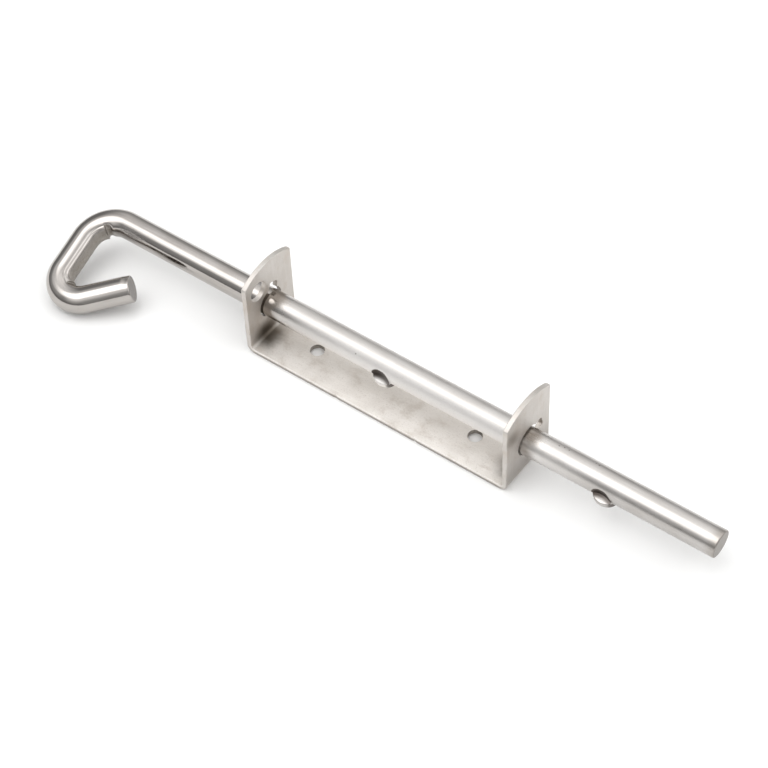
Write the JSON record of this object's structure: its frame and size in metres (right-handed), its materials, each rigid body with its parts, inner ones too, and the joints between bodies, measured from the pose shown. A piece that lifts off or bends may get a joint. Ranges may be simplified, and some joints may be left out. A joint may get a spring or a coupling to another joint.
{
  "type": "cane bolt",
  "caption": "Hooked round rod that slides and turns in a bent-strip bracket with two pierced ears, with stop lugs, keyways and a padlock hole.",
  "frame": {"origin": "centre of the bracket's mounting face", "axes": "+X along the rod towards its plain end, +Z square off the mounting face towards the rod, so +Y is the bracket's side away from the hook"},
  "size_m": [0.3138, 0.0602, 0.0418],
  "materials": {
    "bracket_steel": "satin stainless strip, brushed lengthwise, blanked edges tumbled",
    "rod_steel": "bright drawn stainless bar, satin along its length, nearly mirror-bright at the hook, with small pits and die marks"
  },
  "bodies": {
    "bracket": {"bracket": "bracket_steel"},
    "bolt_slider": {"rod_point": "rod_steel"},
    "bolt_turner": {"bolt_rod": "rod_steel"}
  },
  "joints": [
    {"name": "bolt_slide", "type": "slide", "parent": "bracket", "child": "bolt_slider", "axis": [1, 0, 0], "range_m": [-0.0325, 0.0595]},
    {"name": "bolt_turn", "type": "hinge", "parent": "bolt_slider", "child": "bolt_turner", "pos_m": [0, 0, 0.0176], "axis": [1, 0, 0], "range_deg": [-212, 0]}
  ]
}
